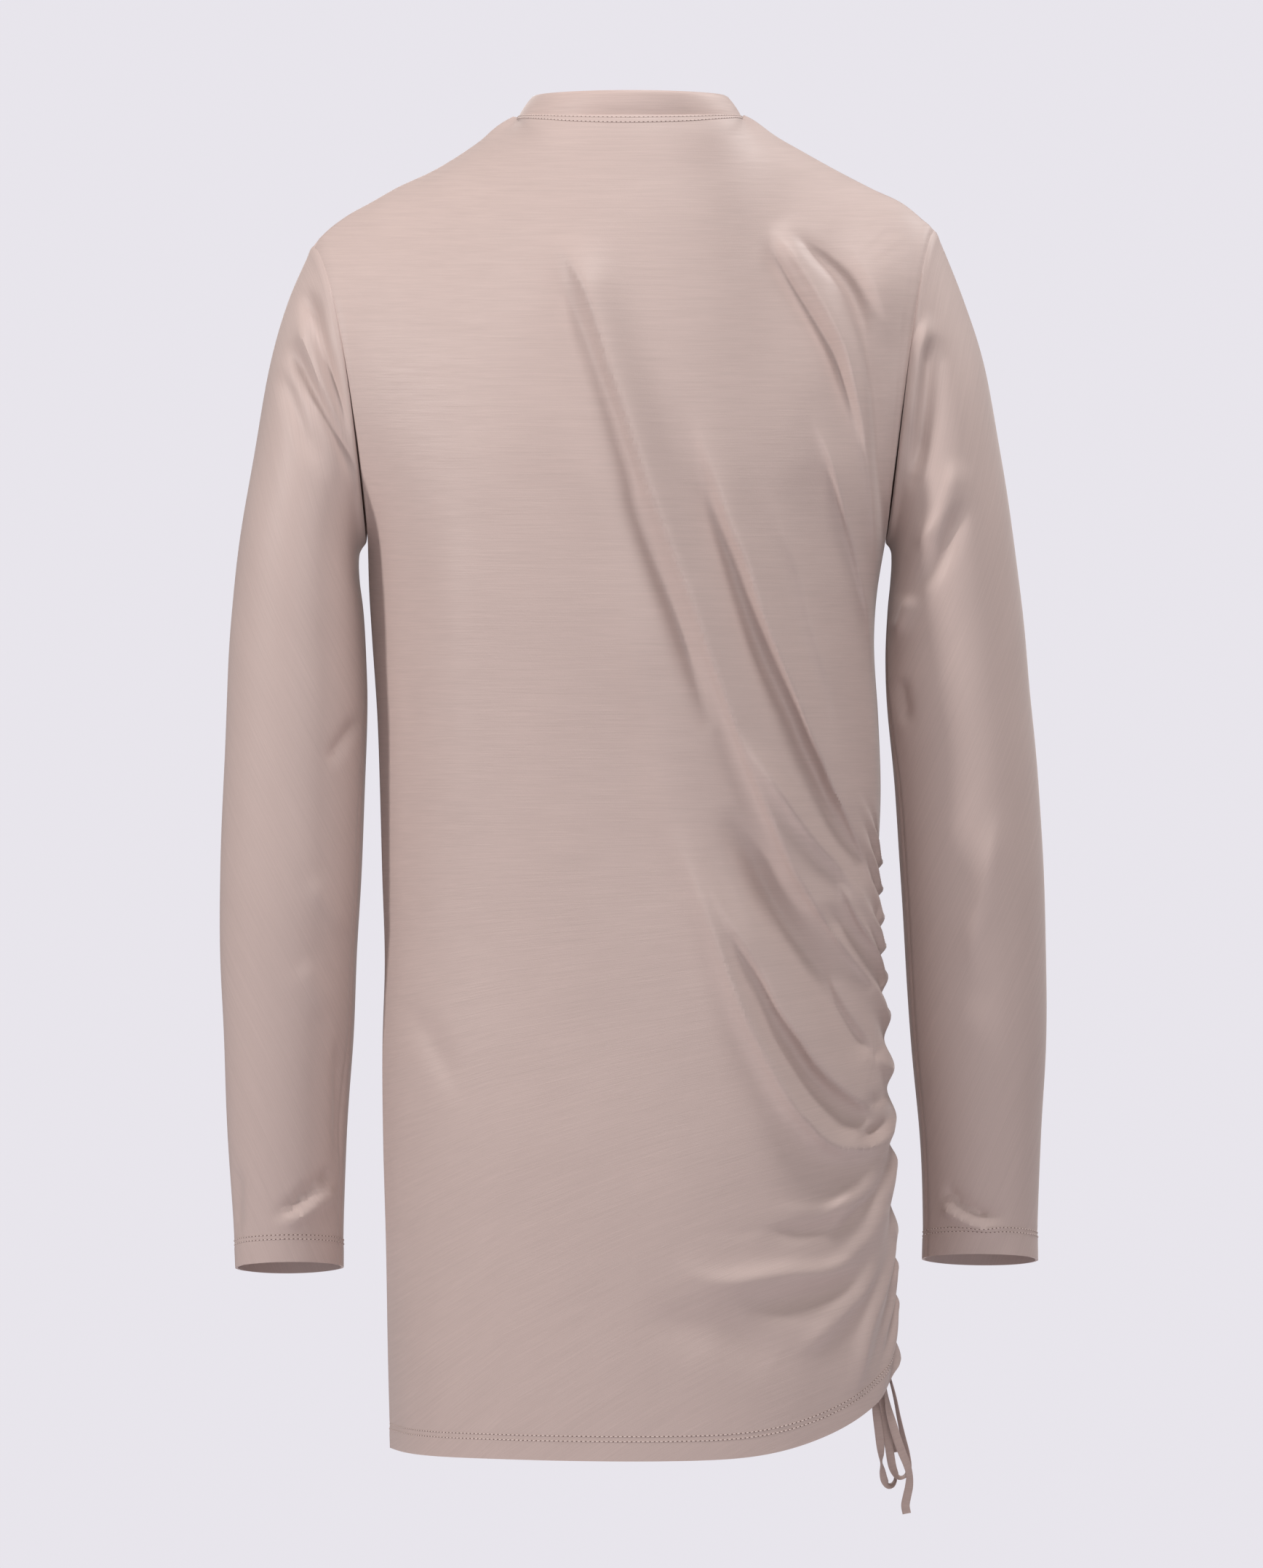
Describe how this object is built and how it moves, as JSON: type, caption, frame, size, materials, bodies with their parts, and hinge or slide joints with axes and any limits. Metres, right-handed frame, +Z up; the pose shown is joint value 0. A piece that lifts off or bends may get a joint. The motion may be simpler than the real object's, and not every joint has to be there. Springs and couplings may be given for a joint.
{
  "type": "long drape top",
  "caption": "Long-sleeved jersey tunic, hollow as worn, with a neckband, set-in sleeves and a side seam gathered up by a tied drawstring.",
  "frame": {"origin": "middle of the neck opening, level with the neck ends of the shoulder seams, where the wearer's shoulders and neck carry the garment", "axes": "+Z up along the worn garment, +Y towards the wearer's front, +X towards the wearer's right, the gathered side"},
  "size_m": [0.5054, 0.2416, 0.8626],
  "materials": {
    "jersey": "fine slub jersey with a soft satin sheen",
    "neckband_jersey": "folded double jersey, coverstitched below",
    "casing_jersey": "single jersey strip, inside the garment",
    "drawstring_tape": "flat self-fabric tape"
  },
  "bodies": {
    "root": {"back_panel": "jersey", "front_panel": "jersey", "sleeve_left": "jersey", "sleeve_right": "jersey", "neckband": "neckband_jersey", "drawstring_casing": "casing_jersey", "drawstring_knot": "drawstring_tape", "tape_loop_inner": "drawstring_tape", "tape_loop_outer": "drawstring_tape", "tape_end_long": "drawstring_tape", "tape_end_short": "drawstring_tape"}
  },
  "joints": []
}
